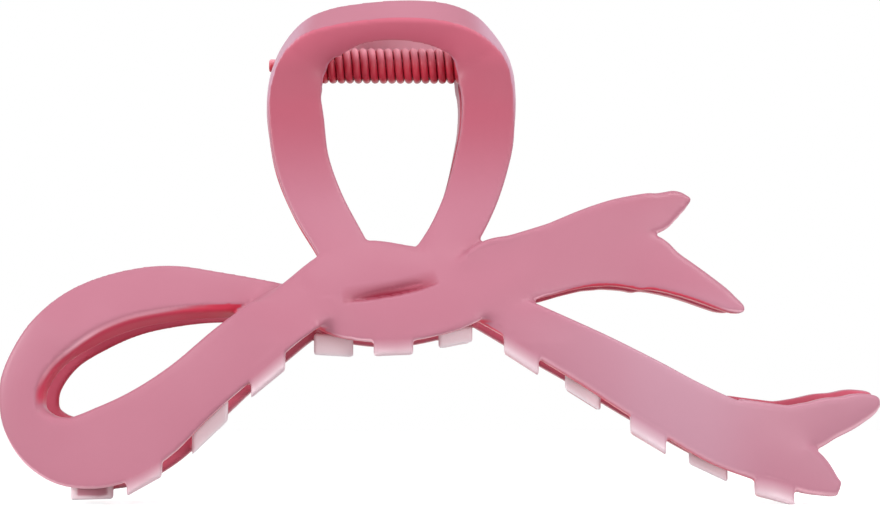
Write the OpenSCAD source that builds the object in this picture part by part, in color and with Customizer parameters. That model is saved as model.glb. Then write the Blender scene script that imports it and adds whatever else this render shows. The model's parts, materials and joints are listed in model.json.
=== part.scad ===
// Bow-shaped claw clip: two moulded jaws that mirror each other, a steel hinge pin
// and a torsion spring that holds the jaws shut.
// +Z is up, the front jaw faces -Y, the hinge axis runs along X, and the closed
// clip stands on its outermost teeth at Z = 0.

/* [Overall] */
// Width of the bow from the loop's outer end to the longer tail's tip
bow_w = 131.4; // [124:0.2:140]
// Height from the lowest tooth to the top of the handle loop
clip_h = 75.8; // [72:0.2:80]
// Depth of each jaw's face in front of the middle, at the belly of the knot
belly_d = 18.4; // [17:0.1:21]
// Depth of each jaw's face in front of the middle, at the hinge
waist_d = 8; // [7.8:0.1:9]
// Depth of each jaw's face in front of the middle, at the top of the handle loop
handle_d = 14.6; // [13:0.1:17]

/* [Ribbon] */
// Thickness of the moulded ribbon
ribbon_t = 4.6; // [4:0.1:5]
// Radius of the ribbon's front edges
edge_r = 1.2; // [0.8:0.1:1.6]
// Height of the gentle crown on the ribbon's face
crown_h = 0.25; // [0.1:0.05:0.5]

/* [Teeth] */
// Width of a tooth along the jaw
tooth_w = 5.4; // [5:0.1:6.4]
// Drop of the teeth below the jaw's lower edge
tooth_drop = 1.6; // [1.4:0.1:2.2]
// Thickness of a tooth at its root
tooth_t = 2.5; // [2.2:0.1:2.8]
// Thickness of a tooth near its tip
tip_t = 1.4; // [1.1:0.1:1.6]
// Clearance between a tooth's tip and the ribbon that it tucks under
tip_gap = 0.3; // [0.25:0.05:0.6]

/* [Hinge] */
// Distance of the hinge axis below the top of the handle loop
hinge_drop = 9.2; // [8.8:0.1:9.6]
// Diameter of the hinge pin
pin_d = 2; // [1.8:0.1:2.2]
// Radial clearance of the pin in the back jaw's lugs
pin_fit = 0.05; // [0.03:0.01:0.08]
// Length of pin that stands out past the front jaw's left lug
pin_proud = 2; // [1.2:0.1:2.6]
// Outer diameter of a hinge lug
lug_d = 5.2; // [4.8:0.1:5.6]
// Thickness of a hinge lug along the pin
lug_t = 2.7; // [2.4:0.1:3]
// Side clearance between neighbouring lugs
lug_gap = 0.1; // [0.05:0.05:0.2]
// Distance from the pin's axis to the flat at the back of each jaw
seat_d = 3.2; // [3.05:0.05:3.3]

/* [Spring] */
// Diameter of the spring wire
wire_d = 1.2; // [1:0.05:1.25]
// Outer diameter of the spring's coils
coil_d = 5.3; // [5.1:0.1:5.5]
// Spacing of the coils, wire and gap together
coil_pitch = 1.27; // [1.26:0.01:1.35]
// Length of each spring leg past the coils
leg_len = 7; // [5:0.5:7.5]

/* [Hidden] */

jaw_pink = [0.82, 0.55, 0.63];
lug_pink = [0.76, 0.46, 0.55];
wire_pink = [0.7, 0.38, 0.47];

// The routes below are drawn for a bow 131.4 wide and 75.8 high.
sx = bow_w / 131.4;
sz = clip_h / 75.8;
hinge_z = clip_h - hinge_drop;
$fn = 48;

// Middle of the handle loop, where the jaw stands furthest forward
loop_x = -7 * sx;

// How far the face has come forward from the waist: [share of hinge height below
// the axis, share of the way to the belly], then the same above the axis
below = [[-1, 1.02], [-0.76, 1.02], [-0.62, 0.98], [-0.53, 0.8], [-0.41, 0.5], [-0.3, 0.27],
         [-0.15, 0.07], [-0.075, 0], [0, 0]];
above = [[0, 0], [0.3, 0.13], [0.5, 0.3], [0.7, 0.53], [1, 1]];

// Depth of the face in front of the middle at a place on the jaw
function face_d(x, z) =
    let (h = z - hinge_z,
         d = h < 0 ? waist_d + (belly_d - waist_d) * lookup(h / hinge_z, below)
                   : waist_d + (handle_d - waist_d) * lookup(h / hinge_drop, above))
    d - 0.0018 * (x - loop_x) * (x - loop_x) - (x > 0 ? 2.5 * pow(x / (62 * sx), 3) : 0);

// Routes of the ribbon's strands: [x, z, half width, lift in front of the face, roll].
// Positive roll turns the side on the right of the route towards the front.
loop_route = [
    [-12.3, 34.5, 3.7, 0.3, 0], [-14.9, 39.3, 3.75, 0.1, -2], [-18, 45.4, 3.9, 0, -4], [-20.3, 51.5, 4.1, 0, -5],
    [-21.5, 57.6, 4.1, 0, -6], [-21.6, 61.5, 4, 0, -8], [-20.8, 65.1, 3.7, 0, -12], [-18.8, 67.7, 3.3, 0, -16],
    [-15.8, 69.3, 2.9, 0, -17], [-12.1, 70.6, 2.6, 0, -14], [-7.2, 71.1, 2.5, 0, -12], [-2, 70.7, 2.6, 0, -14],
    [2, 69.6, 2.9, 0, -17], [4.7, 67.6, 3.3, 0, -16], [6.4, 65, 3.9, 0, -12], [7.3, 61.7, 4, 0, -8],
    [7.4, 57.6, 4.1, 0, -6], [6.7, 53.2, 4, 0, -5], [4.7, 46.4, 3.9, 0, -4], [1.6, 40.2, 3.7, -0.1, -2],
    [-1.4, 35, 3.7, -0.3, 0]];
bow_route = [
    [-17, 30.2, 2.2, -2.6, 0], [-26.3, 31.5, 2.6, -2.2, 0], [-33, 32.2, 3.1, -1, 0],
    [-40.2, 32.3, 3.9, -0.2, 0], [-47.1, 31.2, 4.2, 0, 0], [-53.1, 29, 4.2, 0, 0],
    [-57.7, 25.8, 4, 0, 0], [-60.9, 22.1, 3.6, 0, 0], [-62.5, 17.8, 3.4, 0, 0], [-62.3, 13.8, 3.6, 0, 0],
    [-60.6, 10.8, 4.2, 0, 0], [-57.7, 8.8, 4.9, 0, 0], [-54, 7.9, 5.4, 0, 2], [-48.8, 8.7, 5.8, 0, 3],
    [-43.1, 12, 5.7, 0, 4], [-37.1, 17.1, 5.1, 0.2, 6], [-30.7, 22.4, 4.8, 0.6, 6],
    [-24.7, 27.2, 4.6, 1, 5], [-20.8, 30, 4.8, 0.9, 4], [-15.3, 33.5, 4.8, 0.4, 0],
    [-7, 35.6, 4.1, 0, 0], [1.5, 36.3, 3.4, -0.6, 0]];
belly_route = [
    [-18, 29.4, 2.4, -2.6, -4], [-13.9, 28.4, 3, -1.2, -4], [-6.7, 28.4, 3.5, 0, -4], [0.4, 29.8, 4, 0.6, -5],
    [6.5, 33.7, 4.8, 1.1, -8], [12.5, 36, 5.1, 1, -12], [18.3, 37.4, 5.2, 0.6, -15], [24, 38.6, 5.8, 0.2, -16],
    [28.5, 39.2, 6.3, 0, -16]];
upper_prong = [[23, 40.2, 4.4, 0, -16], [28.8, 42.2, 4, 0, -14], [33.4, 44.1, 3, 0, -12],
               [36, 45.1, 2.3, 0, -12], [37.4, 45.4, 1.4, 0, -12]];
lower_prong = [[24, 38, 4.8, 0, -16], [30, 37.1, 3.9, 0, -15], [35.9, 34.8, 2.8, 0, -14],
               [40.9, 32.1, 1.8, 0, -14], [44.1, 30.1, 1.3, 0, -14], [45, 29.5, 0.8, 0, -14]];
low_route = [
    [1, 33, 2.8, -3, -6], [6, 30.3, 3, -2.4, -8], [11, 27.7, 3.2, -1.4, -10], [17, 24.6, 3.8, -0.4, -10],
    [23, 21.3, 4.1, 0, -10], [30.1, 17.2, 4.6, 0, -9], [36.2, 14.1, 4.7, 0, -8], [42.6, 11.1, 5.1, 0, -7],
    [48.4, 9.5, 5.7, 0, -6]];
top_lobe = [[46, 10.8, 4.5, 0, -6], [52.2, 11.3, 4.1, 0, -6], [58.6, 12.8, 3.7, 0, -6], [63, 14.1, 2.7, 0, -6],
            [65.7, 14.7, 1.4, 0, -6]];
bottom_lobe = [[46, 8.8, 4.7, 0, -6], [51.5, 6.9, 4.1, 0, -6], [56, 4.7, 3.4, 0, -6], [58.8, 3.1, 2.3, 0, -6],
               [59.8, 2.4, 1.4, 0, -6]];

// Where the jaw is divided between its nodes
knot_top = 40 * sz;
tail_cut = 16.5 * sx;
bow_cut = [[-21.6 * sx, 40 * sz], [-18.2 * sx, 22 * sz]];

// A point part of the way along a smooth curve through four neighbours
function smooth_at(a, b, c, d, t) =
    0.5 * (2 * b + (c - a) * t + (2 * a - 5 * b + 4 * c - d) * t * t + (3 * b - a - 3 * c + d) * t * t * t);

// A route with extra stations between its points
function smoothed(r, steps) = [
    for (i = [0:len(r) - 2], s = [0:steps - 1])
        smooth_at(r[max(i - 1, 0)], r[i], r[i + 1], r[min(i + 2, len(r) - 1)], s / steps),
    r[len(r) - 1]];

function unit(v) = v / norm(v);
function scaled(p) = [p[0] * sx, p[1] * sz, p[2], p[3], p[4]];
function face_point(p) = [p[0], -face_d(p[0], p[1]) - p[3], p[1]];

// Direction that the face looks in at a place on the jaw
function face_normal(x, z) =
    let (e = 2)
    unit([-(face_d(x + e, z) - face_d(x - e, z)) / (2 * e), -1,
          -(face_d(x, z + e) - face_d(x, z - e)) / (2 * e)]);

// Ribbon section: [place across, share of the half width to take off with it, depth]
function section(w) =
    let (t = ribbon_t * min(1, 0.7 + 0.12 * w), r = min(edge_r, 0.6 * w), b = 0.5 * r)
    [[-w, r + crown_h], [-w + 0.35 * r, 0.3 * r + crown_h], [-w + r, crown_h * 0.8], [0, 0],
     [w - r, crown_h * 0.8], [w - 0.35 * r, 0.3 * r + crown_h], [w, r + crown_h],
     [w, t - b], [w - b, t], [-w + b, t], [-w, t - b]];

// Sections along a route, each square to it
function rings(route, steps = 2) =
    let (st = [for (p = smoothed(route, steps)) scaled(p)], n = len(st))
    [for (i = [0:n - 1])
        let (p = st[i], c = face_point(p),
             along = unit(face_point(st[min(i + 1, n - 1)]) - face_point(st[max(i - 1, 0)])),
             look = face_normal(p[0], p[1]),
             flat = unit(cross(along, look)), up = cross(flat, along),
             across = flat * cos(p[4]) + up * sin(p[4]), out = up * cos(p[4]) - flat * sin(p[4]))
        [for (q = section(p[2])) c + across * q[0] - out * q[1]]];

// A solid through neighbouring sections, one hull for each pair
module strand(rs) {
    n = len(rs[0]);
    for (i = [1:len(rs) - 1])
        hull() polyhedron(concat(rs[i - 1], rs[i]), [[for (j = [0:n - 1]) j], [for (j = [0:n - 1]) n + j]]);
}

module loop_strand() strand(rings(loop_route));
module bow_strand() strand(rings(bow_route));
module belly_strand() strand(rings(belly_route));
module low_strand() strand(rings(low_route));

// Everything on one side of an upright or level plane
big = 400;
module above_knot() translate([-big / 2, -big / 2, knot_top]) cube(big);
module right_of_cut() translate([tail_cut, -big / 2, -big / 2]) cube(big);
module left_of_knot()
    rotate([90, 0, 0]) translate([0, 0, -big / 2]) linear_extrude(big)
        let (a = bow_cut[0], b = bow_cut[1], e = (a - b) * 10)
        polygon([a + e, b - e, b - e - [big, 0], a + e - [big, 0]]);

// Pocket that keeps the back of the rails clear of the spring, the lugs and the other jaw
module hinge_flat()
    translate([-big / 2, -seat_d, hinge_z - big / 2]) cube([big, big, big]);

// Pad behind a rail for the lugs to stand on
pad_deep = 1.6;
module lug_pad(x)
    translate([x - outer_lug, -seat_d - pad_deep, hinge_z - lug_d / 2])
        cube([2 * outer_lug, pad_deep + 1, lug_d / 2 + lug_shoulder]);

module jaw_top_loop()
    difference() {
        union() {
            intersection() { loop_strand(); above_knot(); }
            lug_pad(left_rail);
            lug_pad(right_rail);
        }
        hinge_flat();
    }

module jaw_knot()
    union() {
        difference() { loop_strand(); above_knot(); }
        difference() { bow_strand(); left_of_knot(); }
        difference() { union() { belly_strand(); low_strand(); } right_of_cut(); }
    }

module jaw_bow_loop()
    intersection() { bow_strand(); left_of_knot(); }

module jaw_upper_tail()
    union() {
        intersection() { belly_strand(); right_of_cut(); }
        strand(rings(upper_prong));
        strand(rings(lower_prong));
    }

module jaw_lower_tail()
    union() {
        intersection() { low_strand(); right_of_cut(); }
        strand(rings(top_lobe));
        strand(rings(bottom_lobe));
    }

// Lower edge of the jaw from left to right, at the face and at the back: X, and Z or Y, of
// one corner of each section
face_corner = 6;
back_corner = 7;
function corner_line(k, axis) = [
    for (r = rings(bow_route)) if (r[k][0] > -56 * sx && r[k][0] < -19 * sx && r[k][2] < 27 * sz) [r[k][0], r[k][axis]],
    for (r = rings(belly_route)) if (r[k][0] > -16 * sx && r[k][0] < 4 * sx) [r[k][0], r[k][axis]],
    for (r = rings(low_route)) if (r[k][0] > 6 * sx) [r[k][0], r[k][axis]],
    for (r = rings(bottom_lobe)) if (r[k][0] > 48 * sx) [r[k][0], r[k][axis]]];
face_line = corner_line(face_corner, 2);
face_depth = corner_line(face_corner, 1);
back_line = corner_line(back_corner, 2);

// Middles of the teeth along X; the two jaws' teeth stand by turns
front_places = [-43.7, -25.4, -6.8, 12, 31, 50.2];
back_places = [-52.3, -34.4, -16, 2.4, 21.4, 40.5];
stand_place = front_places[5];

// One tooth: it leaves the jaw's lower edge, curves back and runs under the other jaw.
// The outermost front tooth reaches the floor that the closed clip stands on.
module tooth(x, stands = false) {
    edge = lookup(x, face_line);
    tilt = (lookup(x + 2, face_line) - lookup(x - 2, face_line)) / 4;
    front = lookup(x, face_depth) - edge_r;
    turn = (lookup(x + 2, face_depth) - lookup(x - 2, face_depth)) / 4;
    clear = min([edge, for (a = [-1, 0, 1] * tooth_w / 2) lookup(x + a, back_line) - a * tilt]) - tip_gap;
    sag = 0.1;
    flat = 0.85;
    low = stands ? abs(tilt) * flat * tooth_w / 2 + sag : min(clear - tip_t, edge - tooth_drop);
    tip = -front - 1.8;
    // [y, z, thickness, turn of the thickness from level to upright, width share]
    run = [[front + 2, edge + 1.6, tooth_t, 0, 1], [front + 1.8, edge + 0.2, tooth_t, 0, 1],
           [front + 2, edge * 0.75 + (low + 1.2) * 0.25, tooth_t, 25, 1],
           [front + 2.5, edge * 0.35 + (low + 1.2) * 0.65, tooth_t * 0.97, 55, 1],
           [front + 3.6, low + tooth_t * 0.47, tooth_t * 0.93, 88, 1],
           [front * 0.5, low - sag / 2 + tooth_t * 0.4, tooth_t * 0.8, 90, 1],
           [0, low - sag + tip_t * 0.6, tip_t * 1.2, 90, 0.98],
           [tip * 0.55, low - sag / 2 + tip_t * 0.52, tip_t * 1.04, 90, 0.96],
           [tip - 1.5, low + tip_t / 2, tip_t, 90, 0.94], [tip - 0.4, low + tip_t / 2, tip_t * 0.9, 90, 0.86],
           [tip, low + tip_t / 2, tip_t * 0.45, 90, 0.7]];
    corners = [[-1, -0.6], [-flat, -1], [flat, -1], [1, -0.6], [1, 0.6], [flat, 1], [-flat, 1], [-1, 0.6]];
    strand([for (s = run) [for (c = corners)
        let (a = c[0] * s[4] * tooth_w / 2, b = c[1] * s[2] / 2)
        [x + a, s[0] + b * cos(s[3]) + a * turn * (1 - s[3] / 90), s[1] + b * sin(s[3]) + a * tilt]]]);
}

module teeth(places)
    difference() {
        for (p = places) tooth(p * sx, p == stand_place);
        loop_strand();
        bow_strand();
        belly_strand();
        low_strand();
        strand(rings(bottom_lobe));
    }

// Lugs stand in pairs behind each rail: the front jaw's outside, the back jaw's inside
left_rail = -21.1 * sx;
right_rail = 6.9 * sx;
outer_lug = lug_t + lug_gap / 2;
lug_shoulder = 1;
left_spring = left_rail + outer_lug + 0.1;
right_spring = right_rail - outer_lug - 0.1;

module lug(x, bore)
    translate([x, 0, hinge_z]) difference() {
        union() {
            rotate([0, 90, 0]) cylinder(d = lug_d, h = lug_t);
            translate([0, -seat_d, -lug_d / 2]) cube([lug_t, seat_d, lug_d / 2 + lug_shoulder]);
        }
        translate([-1, 0, 0]) rotate([0, 90, 0]) cylinder(d = bore, h = lug_t + 2);
    }

module front_top_loop() color(jaw_pink) jaw_top_loop();
module front_knot() color(jaw_pink) jaw_knot();
module front_bow_loop() color(jaw_pink) jaw_bow_loop();
module front_upper_tail() color(jaw_pink) jaw_upper_tail();
module front_lower_tail() color(jaw_pink) jaw_lower_tail();
module front_teeth() color(jaw_pink) teeth(front_places);
module front_hinge_lugs() color(lug_pink) {
    lug(left_rail - outer_lug, pin_d);
    lug(right_rail + lug_gap / 2, pin_d);
}

module back_top_loop() color(jaw_pink) mirror([0, 1, 0]) jaw_top_loop();
module back_knot() color(jaw_pink) mirror([0, 1, 0]) jaw_knot();
module back_bow_loop() color(jaw_pink) mirror([0, 1, 0]) jaw_bow_loop();
module back_upper_tail() color(jaw_pink) mirror([0, 1, 0]) jaw_upper_tail();
module back_lower_tail() color(jaw_pink) mirror([0, 1, 0]) jaw_lower_tail();
module back_teeth() color(jaw_pink) mirror([0, 1, 0]) teeth(back_places);
module back_hinge_lugs() color(lug_pink) mirror([0, 1, 0]) {
    lug(left_rail + lug_gap / 2, pin_d + 2 * pin_fit);
    lug(right_rail - outer_lug, pin_d + 2 * pin_fit);
}

module hinge_pin() {
    start = left_rail - outer_lug - pin_proud;
    stop = right_rail + outer_lug - 0.2;
    color(wire_pink) translate([start, 0, hinge_z]) rotate([0, 90, 0]) cylinder(d = pin_d, h = stop - start);
}

// The coils wind round the pin; one leg bears on each handle from inside
lean = 13;
coil_r = (coil_d - wire_d) / 2;
first_turn = 180 + lean;
spring_run = right_spring - left_spring - wire_d;
last_turn = 360 * floor(spring_run / coil_pitch - (180 - 2 * lean) / 360) + 360 - lean;
true_pitch = spring_run / ((last_turn - first_turn) / 360);
turn_step = 30;
function coil_at(a) = [left_spring + wire_d / 2 + (a - first_turn) / 360 * true_pitch,
                       coil_r * cos(a), hinge_z + coil_r * sin(a)];
coil_steps = ceil((last_turn - first_turn) / turn_step);
left_leg = [0, -sin(lean), cos(lean)];
right_leg = [0, sin(lean), cos(lean)];
spring_route = concat(
    [coil_at(first_turn) + left_leg * leg_len, coil_at(first_turn) + left_leg * wire_d],
    [for (i = [0:coil_steps]) coil_at(first_turn + (last_turn - first_turn) * i / coil_steps)],
    [coil_at(last_turn) + right_leg * wire_d, coil_at(last_turn) + right_leg * leg_len]);

module spring() {
    sides = 8;
    n = len(spring_route);
    pts = [for (i = [0:n - 1])
        let (along = unit(spring_route[min(i + 1, n - 1)] - spring_route[max(i - 1, 0)]),
             a = unit(cross(along, [1, 0, 0])), b = cross(along, a))
        for (j = [0:sides - 1]) spring_route[i] + (a * cos(360 * j / sides) + b * sin(360 * j / sides)) * wire_d / 2];
    walls = [for (i = [0:n - 2], j = [0:sides - 1])
        let (k = (j + 1) % sides) [i * sides + k, i * sides + j, (i + 1) * sides + j, (i + 1) * sides + k]];
    color(wire_pink) polyhedron(pts, concat(
        [[for (j = [0:sides - 1]) j]], walls, [[for (j = [sides - 1:-1:0]) (n - 1) * sides + j]]));
}

front_top_loop();
front_knot();
front_bow_loop();
front_upper_tail();
front_lower_tail();
front_teeth();
front_hinge_lugs();
back_top_loop();
back_knot();
back_bow_loop();
back_upper_tail();
back_lower_tail();
back_teeth();
back_hinge_lugs();
hinge_pin();
spring();
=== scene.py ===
import bisect
import json
import math
import bmesh
import bpy
from mathutils import Matrix, Vector
from mathutils.kdtree import KDTree


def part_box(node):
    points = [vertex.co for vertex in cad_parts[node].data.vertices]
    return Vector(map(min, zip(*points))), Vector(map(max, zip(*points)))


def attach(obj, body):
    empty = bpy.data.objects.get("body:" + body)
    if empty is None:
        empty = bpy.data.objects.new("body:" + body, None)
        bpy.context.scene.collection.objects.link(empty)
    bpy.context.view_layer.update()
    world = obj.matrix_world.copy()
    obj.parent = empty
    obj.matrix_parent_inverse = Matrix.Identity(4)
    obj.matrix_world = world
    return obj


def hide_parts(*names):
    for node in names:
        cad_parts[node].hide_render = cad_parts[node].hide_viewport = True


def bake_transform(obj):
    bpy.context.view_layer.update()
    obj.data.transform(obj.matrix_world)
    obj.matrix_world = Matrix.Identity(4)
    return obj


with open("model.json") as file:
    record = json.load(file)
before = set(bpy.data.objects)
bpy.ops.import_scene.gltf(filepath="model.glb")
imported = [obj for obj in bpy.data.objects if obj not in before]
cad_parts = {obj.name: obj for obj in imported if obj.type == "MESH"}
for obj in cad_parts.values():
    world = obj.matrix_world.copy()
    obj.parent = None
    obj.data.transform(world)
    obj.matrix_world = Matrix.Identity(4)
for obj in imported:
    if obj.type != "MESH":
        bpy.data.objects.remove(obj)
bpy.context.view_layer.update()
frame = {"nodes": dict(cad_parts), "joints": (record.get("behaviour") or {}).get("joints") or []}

scene = bpy.context.scene
mm = 0.001
hingeZ = frame["joints"][0]["pos_m"][2] / mm
print("frame loaded, hinge axis at", round(hingeZ, 2), "mm")


# materials

def newMaterial(name):
    material = bpy.data.materials.new(name)
    material.use_nodes = True
    nodes, links = material.node_tree.nodes, material.node_tree.links
    nodes.clear()
    shader = nodes.new("ShaderNodeBsdfPrincipled")
    output = nodes.new("ShaderNodeOutputMaterial")
    links.new(shader.outputs["BSDF"], output.inputs["Surface"])
    return material, nodes, links, shader


def softTouchGroup():
    # clouded tone and fine grain of a soft-touch coating, shared by every painted surface
    group = bpy.data.node_groups.new("softTouchCoating", "ShaderNodeTree")
    for name, kind, first in (("Colour", "NodeSocketColor", (0.6, 0.2, 0.3, 1)),
                              ("Deep Colour", "NodeSocketColor", (0.5, 0.15, 0.2, 1)),
                              ("Cloud Scale", "NodeSocketFloat", 40.0),
                              ("Grain Scale", "NodeSocketFloat", 4000.0),
                              ("Roughness", "NodeSocketFloat", 0.5),
                              ("Roughness Spread", "NodeSocketFloat", 0.06)):
        socket = group.interface.new_socket(name, in_out="INPUT", socket_type=kind)
        socket.default_value = first
    for name, kind in (("Colour", "NodeSocketColor"), ("Roughness", "NodeSocketFloat"),
                       ("Height", "NodeSocketFloat")):
        group.interface.new_socket(name, in_out="OUTPUT", socket_type=kind)
    nodes, links = group.nodes, group.links
    given, made = nodes.new("NodeGroupInput"), nodes.new("NodeGroupOutput")
    place = nodes.new("ShaderNodeTexCoord")
    cloud = nodes.new("ShaderNodeTexNoise")
    cloud.inputs["Detail"].default_value = 3
    grain = nodes.new("ShaderNodeTexNoise")
    grain.inputs["Detail"].default_value = 2
    links.new(place.outputs["Object"], cloud.inputs["Vector"])
    links.new(place.outputs["Object"], grain.inputs["Vector"])
    links.new(given.outputs["Cloud Scale"], cloud.inputs["Scale"])
    links.new(given.outputs["Grain Scale"], grain.inputs["Scale"])
    mix = nodes.new("ShaderNodeMix")
    mix.data_type = "RGBA"
    spread = nodes.new("ShaderNodeMapRange")
    spread.inputs["From Min"].default_value = 0.3
    spread.inputs["From Max"].default_value = 0.7
    links.new(cloud.outputs["Fac"], spread.inputs["Value"])
    links.new(spread.outputs["Result"], mix.inputs["Factor"])
    links.new(given.outputs["Deep Colour"], mix.inputs["A"])
    links.new(given.outputs["Colour"], mix.inputs["B"])
    links.new(mix.outputs["Result"], made.inputs["Colour"])
    rough = nodes.new("ShaderNodeMath")
    rough.operation = "MULTIPLY_ADD"
    centred = nodes.new("ShaderNodeMath")
    centred.operation = "SUBTRACT"
    centred.inputs[1].default_value = 0.5
    links.new(cloud.outputs["Fac"], centred.inputs[0])
    links.new(centred.outputs[0], rough.inputs[0])
    links.new(given.outputs["Roughness Spread"], rough.inputs[1])
    links.new(given.outputs["Roughness"], rough.inputs[2])
    links.new(rough.outputs[0], made.inputs["Roughness"])
    links.new(grain.outputs["Fac"], made.inputs["Height"])
    return group


softTouch = softTouchGroup()


def coatedMaterial(name, look):
    material, nodes, links, shader = newMaterial(name)
    coat = nodes.new("ShaderNodeGroup")
    coat.node_tree = softTouch
    coat.inputs["Colour"].default_value = (*look["colour"], 1)
    coat.inputs["Deep Colour"].default_value = (*look["deepColour"], 1)
    coat.inputs["Cloud Scale"].default_value = look["cloudScale"]
    coat.inputs["Grain Scale"].default_value = look["grainScale"]
    coat.inputs["Roughness"].default_value = look["roughness"]
    coat.inputs["Roughness Spread"].default_value = look["roughnessSpread"]
    bump = nodes.new("ShaderNodeBump")
    bump.inputs["Strength"].default_value = look["grainStrength"]
    bump.inputs["Distance"].default_value = look["grainDepth"]
    links.new(coat.outputs["Height"], bump.inputs["Height"])
    links.new(bump.outputs["Normal"], shader.inputs["Normal"])
    links.new(coat.outputs["Colour"], shader.inputs["Base Color"])
    links.new(coat.outputs["Roughness"], shader.inputs["Roughness"])
    shader.inputs["IOR"].default_value = look["ior"]
    shader.inputs["Specular IOR Level"].default_value = look["specular"]
    return material, nodes, links, shader, coat


jawLook = {"colour": (0.52, 0.19, 0.262), "deepColour": (0.5, 0.172, 0.242), "cloudScale": 45,
           "grainScale": 5000, "roughness": 0.42, "roughnessSpread": 0.06, "grainStrength": 0.2,
           "grainDepth": 0.00003, "ior": 1.6, "specular": 0.32}
wireLook = {"colour": (0.56, 0.026, 0.055), "deepColour": (0.5, 0.018, 0.045), "cloudScale": 300,
            "grainScale": 6000, "roughness": 0.36, "roughnessSpread": 0.1, "grainStrength": 0.2,
            "grainDepth": 0.00002, "ior": 1.6, "specular": 0.35}


def between(nodes, links, source, low, high):
    # smooth share from 0 to 1 as the source runs from low to high
    share = nodes.new("ShaderNodeMapRange")
    share.interpolation_type = "SMOOTHSTEP"
    share.inputs["From Min"].default_value = low
    share.inputs["From Max"].default_value = high
    links.new(source, share.inputs["Value"])
    return share.outputs["Result"]


def product(nodes, links, *shares):
    # all the shares multiplied together
    total = shares[0]
    for share in shares[1:]:
        times = nodes.new("ShaderNodeMath")
        times.operation = "MULTIPLY"
        links.new(total, times.inputs[0])
        links.new(share, times.inputs[1])
        total = times.outputs[0]
    return total


def curved(nodes, links, source, points):
    # share read off a smooth curve through the points
    ease = nodes.new("ShaderNodeFloatCurve")
    curve = ease.mapping.curves[0]
    curve.points[0].location, curve.points[1].location = points[0], points[-1]
    for x, y in points[1:-1]:
        curve.points.new(x, y)
    ease.mapping.update()
    links.new(source, ease.inputs["Value"])
    return ease.outputs["Value"]


def laidOver(nodes, links, colour, layers):
    # colour with each layer's colour laid over it by that layer's share
    for share, goal in layers:
        mix = nodes.new("ShaderNodeMix")
        mix.data_type = "RGBA"
        mix.inputs["B"].default_value = (*goal, 1)
        links.new(share, mix.inputs["Factor"])
        links.new(colour, mix.inputs["A"])
        colour = mix.outputs["Result"]
    return colour


def shadedPaint(paint, look):
    # painted shade and light: deeper colour as painted shade on the face of the handle, the undersides, the
    # inner walls, the slit and the bow's opening; paler colour as painted light inside the handle, on its
    # outer sides, down the teeth, as a painted sheen on the lower tail and as a painted highlight along the
    # rim
    material, nodes, links, shader, coat = paint
    place = nodes.new("ShaderNodeTexCoord")
    at, facing = nodes.new("ShaderNodeSeparateXYZ"), nodes.new("ShaderNodeSeparateXYZ")
    links.new(place.outputs["Object"], at.inputs["Vector"])
    links.new(place.outputs["Normal"], facing.inputs["Vector"])
    marks = {}
    for name in ("toothTipLight", "behindFace", "rimHighlight", "slit", "bowHoleShade"):
        mark = nodes.new("ShaderNodeAttribute")
        mark.attribute_name = name
        marks[name] = mark.outputs["Fac"]
    sideways = nodes.new("ShaderNodeMath")
    sideways.operation = "ABSOLUTE"
    links.new(facing.outputs["X"], sideways.inputs[0])
    fromMiddle = nodes.new("ShaderNodeMath")
    fromMiddle.operation = "SUBTRACT"
    fromMiddle.inputs[1].default_value = look["middle"]
    links.new(at.outputs["X"], fromMiddle.inputs[0])

    def share(source, span):
        return between(nodes, links, source, *look[span])

    def combined(*shares):
        return product(nodes, links, *shares)
    # painted shade: the face of the handle deeper, less deep on its crown
    handle = combined(share(at.outputs["Z"], "handleFrom"), share(facing.outputs["Z"], "levelEnough"),
                      share(sideways.outputs[0], "frontalEnough"))
    crown = combined(handle, share(at.outputs["Z"], "crownAbove"))
    # painted sheen: the lower tail paler, most towards its middle
    tail = combined(curved(nodes, links, share(at.outputs["X"], "tailSpan"), look["tailPlaces"]),
                    share(at.outputs["Z"], "tailBelow"))
    # painted shade on the undersides low down, behind the face
    low = share(at.outputs["Z"], "underBelow")
    under = combined(share(facing.outputs["Z"], "underFacing"), low, marks["behindFace"])
    # painted highlight along the face's rounded edge where it turns down
    rimHighlight = combined(share(facing.outputs["Z"], "rimFacing"), low, marks["rimHighlight"])
    # painted shade on the surfaces that face the other jaw
    inwardShade = share(combined(at.outputs["Y"], facing.outputs["Y"]), "inwardFacing")
    # painted light on those surfaces high inside the handle
    inside = combined(inwardShade, share(at.outputs["Z"], "insideAbove"))
    # painted light on the handle's sides that face outwards, up high
    shoulder = combined(share(combined(fromMiddle.outputs[0], facing.outputs["X"]), "outwardFacing"),
                        share(at.outputs["Z"], "shoulderAbove"))
    # painted light paling the teeth towards their tips
    tip = curved(nodes, links, marks["toothTipLight"], look["tipPlaces"])
    # painted shade deep in the slit where the strands cross
    colour = laidOver(nodes, links, coat.outputs["Colour"], [
        (handle, look["handle"]), (crown, look["crown"]), (tail, look["tail"]), (under, look["under"]),
        (rimHighlight, look["rimHighlight"]), (inwardShade, look["inwardShade"]), (inside, look["inside"]), (shoulder, look["shoulder"]),
        (marks["slit"], look["slit"]), (marks["bowHoleShade"], look["bowWallShade"]), (tip, look["tip"])])
    links.new(colour, shader.inputs["Base Color"])
    return material


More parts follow.
